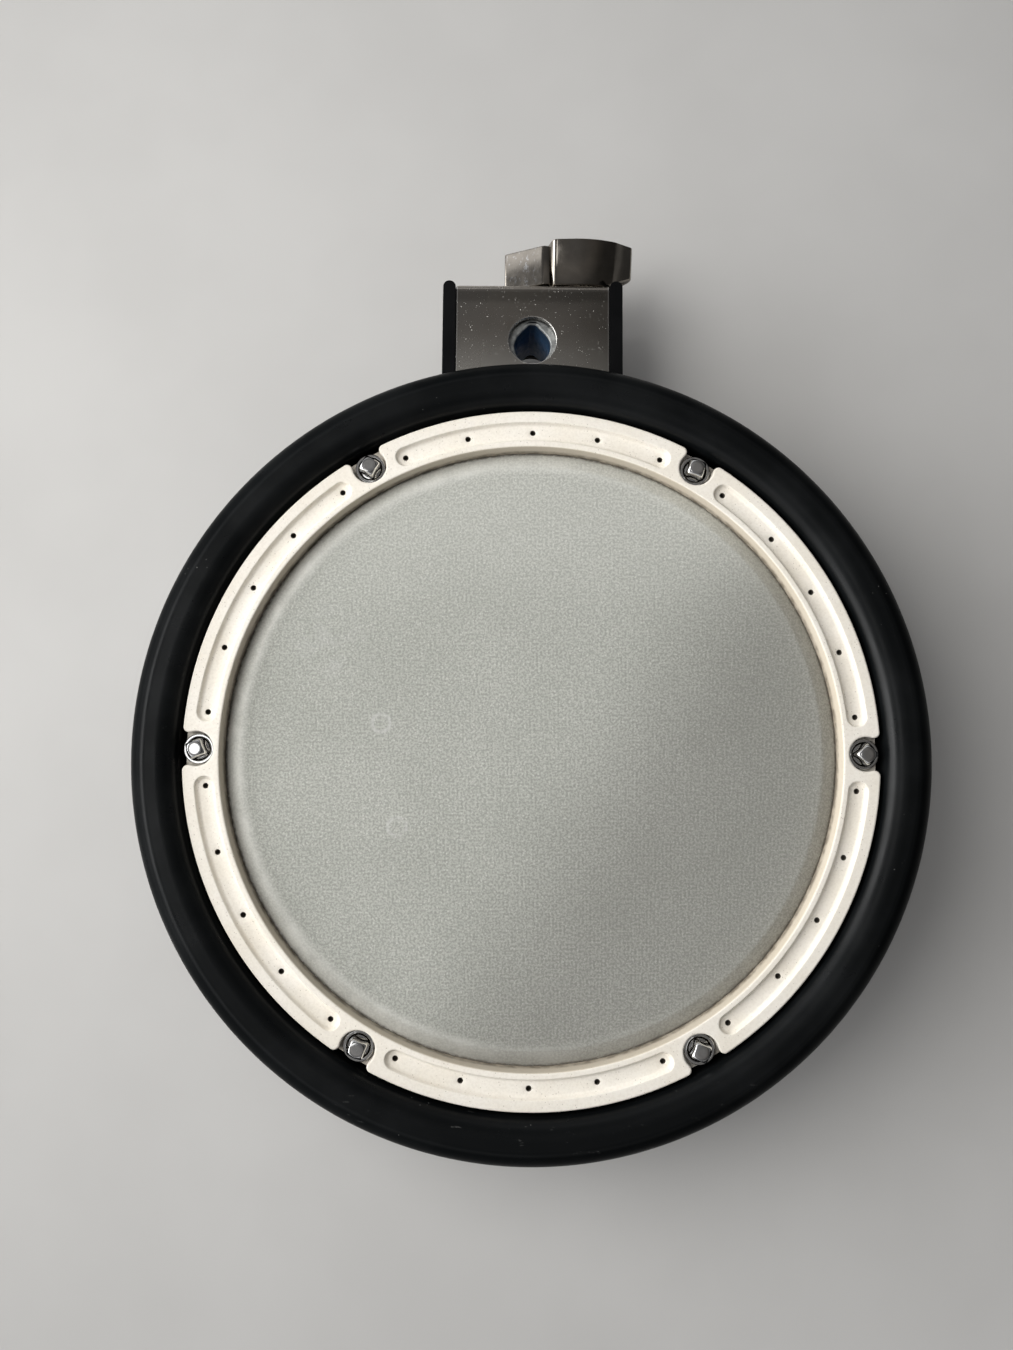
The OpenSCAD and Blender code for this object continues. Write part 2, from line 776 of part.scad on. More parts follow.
module long_wing_outline() {
    polygon(concat(
        [[4.5, 3], [4.9, 12]],
        arc(9.4, 14.6, 2.9, 165, 95, 5),
        arc(16.6, -22.4, 40.2, 94, 70, 7),
        arc(35.6, 10.6, 1.5, 55, -115, 6),
        arc(19.4, -12, 24.4, 60, 95, 6),
        [[13.4, 9.4], [10.6, 5.2], [8, 2]]
    ));
}

// Lays an outline across the bolt's axis, with its depth along the axis
module along_bolt(depth) {
    rotate([90, 0, 180]) mirror([1, 0, 0]) linear_extrude(depth) children();
}

module wing_nut() {
    color([0.55, 0.53, 0.5])
    difference() {
        union() {
            translate([0, nut_near, axis_z]) rotate([-90, 0, 0]) cylinder(r = nut_hub_r, h = nut_far - nut_near);
            translate([0, wing_near, axis_z]) along_bolt(nut_far - wing_near) short_wing_outline();
            // The long wing rises away from the pad, and its near corner is cut off
            intersection() {
                translate([0, nut_far, axis_z - wing_drop]) rotate([wing_tilt, 0, 0]) translate([0, -30, 0])
                    along_bolt(50) long_wing_outline();
                linear_extrude(100) polygon([
                    [-12, wing_near], [wing_end_x - 11, wing_near], [wing_end_x, wing_near + 5.2],
                    [wing_end_x, nut_far], [-12, nut_far]
                ]);
            }
        }
        translate([0, nut_near - 1, axis_z]) rotate([-90, 0, 0]) cylinder(r = nut_bore_r, h = 40);
    }
}

// ---- screws ----

module holder_screws() {
    color([0.7, 0.7, 0.7])
    for (x = [-1, 1], dz = [-1, 1])
        translate([x * holder_screw_x, pad_plate_in, axis_z + dz * holder_screw_dz]) rotate([90, 0, 0])
            pan_screw(3.8, 2.4, 2, 7);
}

module case_screws() {
    color([0.12, 0.12, 0.12])
    between_lugs(post_circle_r) translate([0, 0, 6]) rotate([180, 0, 0]) pan_screw(3.3, 2.2, screw_r, 25);
}

module plate_screws() {
    color([0.7, 0.7, 0.7])
    for (a = [0 : 90 : 270]) rotate(a) translate([90, 0, pad_z]) pan_screw(2.8, 1.8, 1.25, 4);
}

module board_screws() {
    color([0.7, 0.7, 0.7])
    for (y = [-board_screw_y, board_screw_y]) rotate(jack_angle)
        translate([board_screw_x, y, board_z + board_t]) pan_screw(2.2, 1.5, 1, 4.5);
}

lower_case();
drum_frame();
rubber_rim();
hoop();
head_mesh();
flesh_hoop();
tension_bolt(1);  // tension_bolt_1
tension_bolt(2);  // tension_bolt_2
tension_bolt(3);  // tension_bolt_3
tension_bolt(4);  // tension_bolt_4
tension_bolt(5);  // tension_bolt_5
tension_bolt(6);  // tension_bolt_6
bolt_cups();
threaded_inserts();
sensor_plate();
sensor_pad();
head_piezo();
head_piezo_ceramic();
foam_cone();
rim_piezo();
rim_piezo_tape();
jack_board();
lead_header();
jack_body();
jack_washer();
jack_nut();
head_lead();
rim_lead();
holder_box();
eye_bolt();
wing_nut();
nut_washer();
holder_screws();
case_screws();
plate_screws();
board_screws();
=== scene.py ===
"""An electronic drum pad with a mesh head, seen from straight above.

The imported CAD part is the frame. This script adds the finished surfaces: a cast hoop with
rounded pockets, the woven head, the rubber rim ring, bright bolts and the rod holder's
parts. Shapes are given in millimetres and turned into metres when a mesh is made.
"""
import json
import math
import random
import bmesh
import bpy
from mathutils import Matrix, Vector


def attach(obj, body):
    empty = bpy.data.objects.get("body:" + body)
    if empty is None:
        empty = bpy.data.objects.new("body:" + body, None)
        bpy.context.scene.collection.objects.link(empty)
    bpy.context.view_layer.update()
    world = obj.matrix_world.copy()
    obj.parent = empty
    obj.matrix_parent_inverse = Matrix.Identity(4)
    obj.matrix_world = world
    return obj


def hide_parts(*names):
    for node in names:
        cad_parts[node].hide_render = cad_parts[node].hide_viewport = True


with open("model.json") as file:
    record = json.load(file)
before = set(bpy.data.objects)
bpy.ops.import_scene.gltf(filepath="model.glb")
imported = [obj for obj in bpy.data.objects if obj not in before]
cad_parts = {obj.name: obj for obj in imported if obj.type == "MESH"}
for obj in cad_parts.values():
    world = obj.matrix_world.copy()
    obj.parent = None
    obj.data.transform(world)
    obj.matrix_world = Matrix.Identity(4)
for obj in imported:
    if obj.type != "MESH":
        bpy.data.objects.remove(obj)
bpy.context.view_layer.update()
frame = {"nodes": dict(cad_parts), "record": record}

MM = 0.001
TAU = 2 * math.pi

# The CAD part's own sizes and places, in millimetres
LUGS, LUG_CIRCLE, LEDGE_Z = 6, 111.0, 60.5
HOOP_R, HOOP_IN_R, HOOP_TOP, HOOP_BOTTOM = 115.6, 103.2, 66.0, 57.8
POCKET_R, POCKET_HALF_W, POCKET_DEPTH = 108.5, 3.55, 1.8
CREST_R = 97.0
BOX_HALF, BOX_NEAR, BOX_FAR, BOX_LOW, BOX_TOP = 28.0, 132.0, 170.8, 12.0, 46.0
AXIS_Z, EYE_Y, EYE_HALF_H = 29.0, 148.1, 14.4
ROD_Y, ROD_HOLE_R = 149.3, 8.6


# ---------------------------------------------------------------- materials


class Paint:
    """A Principled material, with short calls for the nodes that its detail needs.

    x, y and z are the place on the part in millimetres.
    """

    def __init__(self, name, **sockets):
        self.material = bpy.data.materials.new(name)
        self.material.use_nodes = True
        self.tree = self.material.node_tree
        self.shader = self.tree.nodes["Principled BSDF"]
        for socket, value in sockets.items():
            self.shader.inputs[socket.replace("_", " ")].default_value = value
        self.place = self.node("TexCoord").outputs["Object"]
        in_mm = self.node("VectorMath", operation="SCALE")
        self.feed(in_mm.inputs["Vector"], self.place)
        self.feed(in_mm.inputs["Scale"], 1 / MM)
        self.x, self.y, self.z = self.split(in_mm.outputs["Vector"])

    def node(self, kind, **values):
        made = self.tree.nodes.new("ShaderNode" + kind)
        for key, value in values.items():
            setattr(made, key, value)
        return made

    def feed(self, socket, value):
        if isinstance(value, bpy.types.NodeSocket):
            self.tree.links.new(value, socket)
        else:
            socket.default_value = value

    def stretched(self, scale):
        """Coordinates that draw a texture out along the axes whose scale is small."""
        mapping = self.node("Mapping")
        self.feed(mapping.inputs["Vector"], self.place)
        self.feed(mapping.inputs["Scale"], scale)
        return mapping.outputs["Vector"]

    def noise(self, size_mm, detail=4.0, at=None, roughness=0.55):
        """Noise whose largest features are about size_mm across."""
        made = self.node("TexNoise")
        self.feed(made.inputs["Vector"], self.place if at is None else at)
        self.feed(made.inputs["Scale"], 1000.0 / size_mm)
        self.feed(made.inputs["Detail"], detail)
        self.feed(made.inputs["Roughness"], roughness)
        return made.outputs["Fac"]

    def dots(self, size_mm, seed_shift=0.0):
        """Distance to the nearest of scattered points, in cells of size_mm."""
        made = self.node("TexVoronoi")
        shift = self.node("Mapping")
        self.feed(shift.inputs["Vector"], self.place)
        self.feed(shift.inputs["Location"], (seed_shift, seed_shift, 0.0))
        self.feed(made.inputs["Vector"], shift.outputs["Vector"])
        self.feed(made.inputs["Scale"], 1000.0 / size_mm)
        return made.outputs["Distance"]

    def math(self, operation, a, b=0.0):
        made = self.node("Math", operation=operation)
        self.feed(made.inputs[0], a)
        self.feed(made.inputs[1], b)
        return made.outputs[0]

    def fit(self, value, low, high, to_low=0.0, to_high=1.0):
        """A smooth step from to_low, where value is low, to to_high, where it is high."""
        made = self.node("MapRange", interpolation_type="SMOOTHSTEP")
        for socket, number in zip(made.inputs, (value, low, high, to_low, to_high)):
            self.feed(socket, number)
        return made.outputs[0]

    def blend(self, amount, a, b):
        """Colour a, or b where amount is 1."""
        made = self.node("Mix", data_type="RGBA")
        self.feed(made.inputs["Factor"], amount)
        self.feed(made.inputs["A"], a if isinstance(a, bpy.types.NodeSocket) else (*a, 1.0))
        self.feed(made.inputs["B"], b if isinstance(b, bpy.types.NodeSocket) else (*b, 1.0))
        return made.outputs["Result"]

    def split(self, vector):
        made = self.node("SeparateXYZ")
        self.feed(made.inputs[0], vector)
        return made.outputs

    def radius_from(self, x=0.0, y=0.0):
        """Distance from a vertical line through (x, y)."""
        dx = self.math("SUBTRACT", self.x, x)
        dy = self.math("SUBTRACT", self.y, y)
        squares = self.math("ADD", self.math("MULTIPLY", dx, dx), self.math("MULTIPLY", dy, dy))
        return self.math("SQRT", squares)

    def finish(self, color, roughness=None, height=None, depth_mm=0.05, strength=0.5):
        """Connects the finished colour, roughness and relief."""
        self.feed(self.shader.inputs["Base Color"], color)
        if roughness is not None:
            self.feed(self.shader.inputs["Roughness"], roughness)
        if height is not None:
            bump = self.node("Bump")
            self.feed(bump.inputs["Height"], height)
            self.feed(bump.inputs["Strength"], strength)
            self.feed(bump.inputs["Distance"], depth_mm * MM)
            self.feed(self.shader.inputs["Normal"], bump.outputs["Normal"])
        return self.material


def moulded_plastic(name, dark, light, rough_low, rough_high):
    """Black plastic with a fine moulded grain and faint handling marks."""
    p = Paint(name, IOR=1.5, Specular_IOR_Level=0.16)
    grain = p.noise(0.45, 2.0)
    patches = p.noise(34.0, 5.0)
    color = p.blend(p.fit(patches, 0.35, 0.7), dark, light)
    return p.finish(color, p.fit(p.noise(8.0), 0.3, 0.7, rough_low, rough_high), grain, 0.06, 0.45)


def rim_rubber():
    """Satin black rubber, greyer where it is rubbed, and duller towards its edges."""
    p = Paint("rim_rubber", IOR=1.52)
    rubbed = p.fit(p.noise(28.0, 6.0), 0.42, 0.72)
    base = p.blend(rubbed, (0.0034, 0.0040, 0.0044), (0.0072, 0.0080, 0.0086))
    speck_area = p.fit(p.noise(22.0, 2.0), 0.60, 0.68)
    specks = p.math("MULTIPLY", p.fit(p.dots(2.3, 0.4), 0.10, 0.04), speck_area)
    front = p.fit(p.y, -95.0, -125.0)
    streaks = p.noise(1.6, 6.0, p.stretched((0.35, 1.0, 1.0)))
    scuffs = p.math("MULTIPLY", p.fit(streaks, 0.66, 0.74), front)
    marks = p.math("MAXIMUM", p.math("MULTIPLY", specks, 0.35), p.math("MULTIPLY", scuffs, 0.12))
    color = p.blend(marks, base, (0.42, 0.42, 0.41))
    facing = p.node("LayerWeight").outputs["Facing"]
    p.feed(p.shader.inputs["Specular IOR Level"], p.fit(facing, 0.16, 0.34, 0.19, 0.015))
    rough = p.fit(p.noise(11.0, 5.0), 0.3, 0.7, 0.27, 0.36)
    return p.finish(color, rough, p.noise(0.9, 3.0), 0.03, 0.2)


def hoop_paint():
    """Off-white coating on a casting: faint orange peel, small specks, painted shade with some soiling low
    by the seam, and painted shade on the inner wall and in the vents.
    """
    p = Paint("hoop_paint", IOR=1.5, Specular_IOR_Level=0.35)
    cloud = p.fit(p.noise(17.0, 5.0), 0.3, 0.7)
    base = p.blend(cloud, (0.880, 0.830, 0.735), (0.915, 0.875, 0.800))
    specks = p.fit(p.dots(1.15), 0.20, 0.09)
    specks = p.math("MULTIPLY", specks, p.fit(p.noise(4.0, 2.0), 0.42, 0.56))
    base = p.blend(p.math("MULTIPLY", specks, 0.55), base, (0.30, 0.25, 0.19))
    base = p.blend(p.fit(p.noise(0.8, 2.0), 0.40, 0.66, 0.0, 0.12), base, (0.50, 0.44, 0.36))
    # Painted shade with some dirt on the low parts by the seam
    low = p.fit(p.z, LEDGE_Z + 1.7, LEDGE_Z - 0.9)
    low_shade_and_dirt = p.math("MULTIPLY", low, p.fit(p.noise(3.0, 6.0), 0.36, 0.62, 0.25, 0.8))
    r = p.radius_from()
    # The inner wall is painted a darker tan: painted shade
    base = p.blend(p.fit(r, HOOP_IN_R + 0.35, HOOP_IN_R + 0.05, 0.0, 0.6), base, (0.56, 0.47, 0.34))
    # The vents are painted nearly black below the pocket floor: painted shade
    off_vents = p.math("ABSOLUTE", p.math("SUBTRACT", r, POCKET_R))
    pocket_floor = HOOP_TOP - POCKET_DEPTH
    under_floor = p.fit(p.z, pocket_floor - 0.12, pocket_floor - 0.35)
    vent_shade = p.math("MULTIPLY", p.fit(off_vents, 1.35, 1.15), under_floor)
    base = p.blend(p.math("MULTIPLY", vent_shade, 0.93), base, (0.05, 0.04, 0.03))
    color = p.blend(low_shade_and_dirt, base, (0.20, 0.165, 0.125))
    return p.finish(color, p.fit(p.noise(5.0), 0.3, 0.7, 0.34, 0.48), p.noise(1.1, 3.0), 0.05, 0.28)


def woven_mesh():
    """A tight plain weave, with a painted highlight where it slopes down outside the bearing edge, and
    painted sheen across the head.
    """
    p = Paint("woven_mesh", Sheen_Weight=0.15, Sheen_Roughness=0.5)
    pitch = 0.9
    warp = p.math("SINE", p.math("MULTIPLY", p.math("ADD", p.x, p.y), TAU / pitch))
    weft = p.math("SINE", p.math("MULTIPLY", p.math("SUBTRACT", p.x, p.y), TAU / pitch))
    weave = p.math("MULTIPLY", warp, weft)
    holes = p.fit(weave, 0.15, -0.9)
    cloud = p.fit(p.noise(60.0, 4.0), 0.32, 0.68)
    cloth = p.blend(cloud, (0.500, 0.512, 0.468), (0.560, 0.570, 0.526))
    cloth = p.blend(p.math("MULTIPLY", holes, 0.50), cloth, (0.17, 0.175, 0.16))
    cloth = p.blend(p.fit(p.noise(0.75, 1.0), 0.40, 0.60, 0.0, 0.50), cloth, (0.22, 0.225, 0.205))
    cloth = p.blend(p.fit(p.dots(1.1, 0.3), 0.34, 0.12, 0.0, 0.32), cloth, (0.82, 0.82, 0.78))
    r = p.radius_from()
    # Painted highlight on the slope outside the bearing edge, in uneven patches, strongest on the left
    highlight_patches = p.fit(p.noise(9.0, 5.0), 0.3, 0.75)
    slope_highlight = p.math("MULTIPLY", p.fit(r, CREST_R - 2.5, CREST_R + 1.0), p.fit(highlight_patches, 0.0, 1.0, 0.6, 1.0))
    slope_highlight = p.math("MULTIPLY", slope_highlight, p.fit(p.x, 90.0, -50.0, 0.12, 0.72))
    cloth = p.blend(slope_highlight, cloth, (0.76, 0.76, 0.72))
    for mark_x, mark_y, radius in HEAD_MARKS:
        off_ring = p.math("ABSOLUTE", p.math("SUBTRACT", p.radius_from(mark_x, mark_y), radius))
        faint = p.math("MULTIPLY", p.fit(off_ring, 0.8, 0.3), p.fit(p.noise(2.0, 3.0), 0.35, 0.55))
        cloth = p.blend(p.math("MULTIPLY", faint, 0.38), cloth, (0.66, 0.66, 0.65))
    smudge_x, smudge_y, smudge_r = HEAD_SMUDGE
    smudge = p.fit(p.radius_from(smudge_x, smudge_y), smudge_r, 0.3 * smudge_r)
    smudge = p.math("MULTIPLY", smudge, p.fit(p.noise(7.0, 4.0), 0.42, 0.62))
    cloth = p.blend(p.math("MULTIPLY", smudge, 0.12), cloth, (0.7, 0.7, 0.7))
    # Painted sheen: paler towards the holder, darker towards the lower right
    cloth = p.blend(p.fit(p.y, 30.0, 90.0, 0.0, 0.14), cloth, (0.80, 0.81, 0.77))
    lower_right = p.math("SUBTRACT", p.math("MULTIPLY", p.x, 0.8), p.math("MULTIPLY", p.y, 0.5))
    cloth = p.blend(p.fit(lower_right, 0.0, 52.0, 0.0, 0.42), cloth, (0.105, 0.098, 0.088))
    # Painted shade with some dirt in the crease at the foot of the hoop wall
    seam = p.fit(r, HOOP_IN_R - 1.3, HOOP_IN_R - 0.3)
    seam_shade_and_dirt = p.math("MULTIPLY", seam, p.fit(p.noise(1.7, 5.0), 0.36, 0.56))
    color = p.blend(p.math("MULTIPLY", seam_shade_and_dirt, 0.7), cloth, (0.13, 0.11, 0.085))
    return p.finish(color, p.fit(cloud, 0.0, 1.0, 0.62, 0.72), weave, 0.09, 0.55)


def bright_plating(name, tint, rough_low, rough_high, scratch=0.25, shade_grime_z=None, worn_x=None):
    """Plated steel with smudges and fine scratches; painted shade with some soiling below the height given,
    worn left of worn_x.
    """
    p = Paint(name, Metallic=1.0)
    color = p.blend(p.fit(p.noise(5.0, 5.0), 0.3, 0.75), tint, tuple(0.8 * c for c in tint))
    # Painted shade with some soiling on the low parts
    if shade_grime_z is not None:
        shade_and_grime = p.fit(p.z, shade_grime_z, shade_grime_z - 0.7, 0.0, 0.8)
        color = p.blend(shade_and_grime, color, (0.10, 0.085, 0.07))
    if worn_x is not None:
        wear = p.fit(p.noise(1.7, 8.0, p.stretched((1.0, 0.6, 1.0)), 0.7), 0.56, 0.66)
        wear = p.math("MULTIPLY", wear, p.fit(p.x, worn_x, worn_x - 3.0, 0.0, 0.55))
        color = p.blend(wear, color, (0.80, 0.82, 0.85))
    rough = p.fit(p.noise(2.6, 6.0), 0.35, 0.75, rough_low, rough_high)
    lines = p.noise(0.5, 6.0, p.stretched((1.0, 0.12, 0.6)))
    return p.finish(color, rough, lines, 0.012, scratch)


def satin_steel():
    """Satin plated sheet with a faint grain across the pad and settled dust, with painted highlights on its
    edges, a painted reflection that lightens the near part of the top, and a dark painted reflection just
    before the far bend.
    """
    p = Paint("holder_steel", Metallic=1.0)
    grain = p.noise(0.7, 5.0, p.stretched((1.0, 0.08, 0.2)))
    stain = p.fit(p.noise(13.0, 5.0), 0.35, 0.7)
    color = p.blend(stain, (0.430, 0.400, 0.360), (0.360, 0.330, 0.290))
    # Painted reflection: lighter on the near part of the top
    color = p.blend(p.fit(p.y, BOX_NEAR + 24.0, BOX_NEAR + 4.0, 0.0, 0.9), color, (0.70, 0.68, 0.63))
    # Painted reflection: a dark stripe just before the far bend
    dark_reflection_stripe = p.math(
        "MULTIPLY", p.fit(p.y, BOX_FAR - 8.3, BOX_FAR - 5.8), p.fit(p.y, BOX_FAR - 2.8, BOX_FAR - 3.6)
    )
    color = p.blend(p.math("MULTIPLY", dark_reflection_stripe, 0.45), color, (0.16, 0.15, 0.13))
    # Painted highlights on the side edges and round the rod hole
    lit_side_edges = p.fit(p.math("ABSOLUTE", p.x), BOX_HALF - 0.8, BOX_HALF - 0.5)
    lit_hole_rim = p.fit(p.radius_from(0.0, ROD_Y), ROD_HOLE_R + 0.6, ROD_HOLE_R + 0.3)
    worn = p.math("MAXIMUM", lit_side_edges, lit_hole_rim)
    color = p.blend(p.math("MULTIPLY", worn, 0.8), color, (0.92, 0.90, 0.86))
    dust = p.math("MAXIMUM", p.fit(p.dots(1.7), 0.12, 0.06), p.fit(p.dots(0.9, 0.7), 0.15, 0.07))
    dust = p.math("MULTIPLY", dust, p.fit(p.noise(5.0, 3.0), 0.42, 0.58, 0.12, 0.9))
    color = p.blend(dust, color, (0.78, 0.77, 0.73))
    p.feed(p.shader.inputs["Metallic"], p.fit(dust, 0.0, 1.0, 1.0, 0.1))
    rough = p.math("ADD", p.fit(stain, 0.0, 1.0, 0.24, 0.32), p.math("MULTIPLY", dust, 0.4))
    return p.finish(color, rough, grain, 0.01, 0.2)


def eye_finish():
    """Dull zinc, worn pale on its upper face; the inside of the eye is a dark blue tint with a painted dark
    reflection, and painted shade further down.
    """
    p = Paint("eye_finish", Metallic=0.3)
    worn = p.fit(p.noise(2.2, 5.0), 0.38, 0.66)
    color = p.blend(worn, (0.24, 0.25, 0.25), (0.46, 0.47, 0.46))
    eye_top = AXIS_Z + EYE_HALF_H
    low = p.fit(p.z, eye_top - 0.6, eye_top - 1.2)
    # The inside of the eye: a blue tint with a painted dark reflection in fine lines, and painted shade
    # further down
    inside = p.math("MULTIPLY", low, p.fit(p.radius_from(0.0, EYE_Y), 9.2, 8.6))
    lines = p.math("SINE", p.math("MULTIPLY", p.z, TAU / 1.1))
    blue = p.blend(p.fit(lines, 0.2, 1.0), (0.070, 0.150, 0.290), (0.040, 0.085, 0.165))
    blue = p.blend(p.fit(p.z, eye_top - 11.4, eye_top - 0.9), blue, (0.022, 0.044, 0.080))
    p.feed(p.shader.inputs["Metallic"], p.fit(inside, 0.0, 1.0, 0.45, 0.0))
    return p.finish(p.blend(inside, color, blue), p.fit(worn, 0.0, 1.0, 0.3, 0.45), worn, 0.05, 0.4)


def plain_finish(name, dark, light, rough, size_mm, metallic=0.0, depth_mm=0.03):
    """Two close tones in patches of size_mm, with a matching small relief."""
    p = Paint(name, Metallic=metallic)
    spots = p.noise(size_mm, 5.0)
    return p.finish(
        p.blend(p.fit(spots, 0.32, 0.68), dark, light),
        p.fit(spots, 0.3, 0.7, 0.85 * rough, 1.15 * rough),
        p.noise(0.3 * size_mm, 3.0), depth_mm, 0.4,
    )


# Faint marks on the head: (x, y, radius) of two round ones, and of one soft smudge
HEAD_MARKS = ((-50.4, 9.2, 3.0), (-44.4, -25.4, 3.1))
HEAD_SMUDGE = (-68.0, 36.0, 18.0)

# Slots with a plain finish: dark tone, light tone, roughness, patch size, metallic, relief depth
PLAIN_FINISHES = {
    "zinc": ((0.52, 0.53, 0.54), (0.70, 0.71, 0.72), 0.30, 3.0, 1.0, 0.015),
    "brass": ((0.60, 0.42, 0.17), (0.74, 0.55, 0.26), 0.30, 4.0, 1.0, 0.012),
    "ceramic": ((0.58, 0.58, 0.53), (0.70, 0.70, 0.66), 0.35, 3.0),
    "foam": ((0.010, 0.010, 0.011), (0.028, 0.028, 0.030), 0.9, 1.6, 0.0, 0.35),
    "tape": ((0.60, 0.60, 0.58), (0.72, 0.72, 0.70), 0.6, 3.0),
    "board": ((0.015, 0.085, 0.03), (0.022, 0.12, 0.045), 0.28, 5.0),
    "jack_plastic": ((0.010, 0.010, 0.011), (0.016, 0.016, 0.017), 0.3, 6.0),
    "wire_red": ((0.30, 0.012, 0.012), (0.38, 0.020, 0.018), 0.42, 3.0),
    "wire_black": ((0.012, 0.012, 0.012), (0.02, 0.02, 0.02), 0.42, 3.0),
    "black_screw": ((0.022, 0.022, 0.023), (0.045, 0.045, 0.047), 0.38, 2.0, 0.8, 0.01),
}
PAINTS = {
    "case_plastic": moulded_plastic(
        "case_plastic", (0.0022, 0.0024, 0.0028), (0.0045, 0.0047, 0.0052), 0.38, 0.5
    ),
    "frame_plastic": moulded_plastic(
        "frame_plastic", (0.005, 0.005, 0.0055), (0.009, 0.009, 0.0095), 0.42, 0.55
    ),
    "rim_rubber": rim_rubber(),
    "hoop_paint": hoop_paint(),
    "mesh": woven_mesh(),
    "bright_steel": bright_plating("bright_steel", (0.90, 0.90, 0.89), 0.08, 0.20, shade_grime_z=LEDGE_Z + 1.6),
    "nut_chrome": bright_plating("nut_chrome", (0.36, 0.33, 0.29), 0.08, 0.18, 0.3, worn_x=3.0),
    "holder_steel": satin_steel(),
    "eye": eye_finish(),
}
for plain_name, plain_values in PLAIN_FINISHES.items():
    PAINTS[plain_name] = plain_finish(plain_name, *plain_values)


def paint(obj, slot):
    obj.data.materials.clear()
    obj.data.materials.append(PAINTS[slot])


for row in frame["record"]["subparts"]:
    paint(frame["nodes"][row["node"]], row["material_slot"])


# ---------------------------------------------------------------- mesh building


def arc(cx, cy, r, start, end, steps):
    """Points on an arc, the angles in degrees."""
    angles = [math.radians(start + (end - start) * i / steps) for i in range(steps + 1)]
    return [(cx + r * math.cos(a), cy + r * math.sin(a)) for a in angles]


def circle(cx, cy, r, count):
    return arc(cx, cy, r, 0, 360, count)[:-1]


def turned(points, angle):
    c, s = math.cos(angle), math.sin(angle)
    return [(c * x - s * y, s * x + c * y) for x, y in points]


def sides(loop):
    """The unit normal at every point of a closed loop, on the right of its direction."""
    found = []
    for i, (x, y) in enumerate(loop):
        before, after = loop[i - 1], loop[(i + 1) % len(loop)]
        dx, dy = after[0] - before[0], after[1] - before[1]
        length = math.hypot(dx, dy) or 1.0
        found.append((dy / length, -dx / length))
    return found


def skirt(bm, loop, profile, void_inside=False):
    """Rings along a counter-clockwise loop, one for each (offset towards the void, z)."""
    sign = -1 if void_inside else 1
    normals = sides(loop)
    rings = []
    for offset, z in profile:
        shift = sign * offset
        places = [(x + shift * nx, y + shift * ny, z) for (x, y), (nx, ny) in zip(loop, normals)]
        rings.append([bm.verts.new(place) for place in places])
    count = len(loop)
    for low, high in zip(rings, rings[1:]):
        for i in range(count):
            j = (i + 1) % count
            bm.faces.new((low[i], low[j], high[j], high[i]))
    return rings[0], rings[-1]


def fill(bm, *rings):
    """A flat face bounded by the first ring, with the others as holes in it."""
    if len(rings) == 1:
        bm.faces.new(rings[0])
        return
    edges = []
    for ring in rings:
        for a, b in zip(ring, ring[1:] + ring[:1]):
            edges.append(bm.edges.get((a, b)) or bm.edges.new((a, b)))
    bmesh.ops.triangle_fill(bm, use_beauty=True, use_dissolve=False, edges=edges)


def rounding(edge, z, down=True, steps=3, support=0.3):
    """Profile of a rounded edge at height z, from the wall to the flat face (down=True)."""
    sign = -1 if down else 1
    points = [
        (edge * (math.cos(a) - 1), z + sign * edge * (1 - math.sin(a)))
        for a in [0.5 * math.pi * i / steps for i in range(steps + 1)]
    ]
    return points + [(-edge - support, z)]


def make(name, bm, smooth_angle=38.0):
    """Turns a mesh in millimetres into an object in metres."""
    bmesh.ops.recalc_face_normals(bm, faces=bm.faces)
    bmesh.ops.scale(bm, vec=(MM, MM, MM), verts=bm.verts)
    mesh = bpy.data.meshes.new(name)
    bm.to_mesh(mesh)
    bm.free()
    mesh.shade_smooth()
    mesh.set_sharp_from_angle(angle=math.radians(smooth_angle))
    obj = bpy.data.objects.new(name, mesh)
    bpy.context.scene.collection.objects.link(obj)
    return obj


def lathe_into(bm, profile, count=64, place=Matrix.Identity(4)):
    """Turns a closed profile of (r, z) about the Z axis; r = 0 makes a pole."""
    rings = []
    for r, z in profile:
        if r < 1e-6:
            rings.append([bm.verts.new(place @ Vector((0, 0, z)))])
        else:
            rings.append([bm.verts.new(place @ Vector((x, y, z))) for x, y in circle(0, 0, r, count)])
    for low, high in zip(rings, rings[1:] + rings[:1]):
        if len(low) == len(high) == 1:
            continue
        for i in range(count):
            j = (i + 1) % count
            corner = [low[i % len(low)], low[j % len(low)], high[j % len(high)], high[i % len(high)]]
            bm.faces.new(list(dict.fromkeys(corner)))


def lathe(name, profile, count=64):
    bm = bmesh.new()
    lathe_into(bm, profile, count)
    return make(name, bm)


def plate_into(bm, outer, holes, low, high, edge=0.5, hole_edge=0.4, steps=3):
    """A flat body with rounded edges between two heights."""
    bottoms, tops = [], []
    for loop, inside, e in [(outer, False, edge)] + [(h, True, hole_edge) for h in holes]:
        profile = rounding(e, low, False, steps)[::-1] + rounding(e, high, True, steps)
        bottom, top = skirt(bm, loop, profile, inside)
        bottoms.append(bottom)
        tops.append(top)
    fill(bm, *bottoms)
    fill(bm, *tops)


def lug_matrix(i):
    return Matrix.Rotation(TAU * i / LUGS, 4, "Z") @ Matrix.Translation((LUG_CIRCLE, 0, 0))


def stands_for(obj, body, slot, *nodes, look=None):
    """Paints a new piece, and puts it in the place of its CAD nodes."""
    paint(obj, look or slot)
    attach(obj, body)
    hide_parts(*nodes)
    return obj


# ---------------------------------------------------------------- cast hoop

NOTCH_R, NOTCH_HALF, CORNER_R = 5.75, 5.4, 1.8
VENT_STEP, VENT_R = 11.76, 0.9


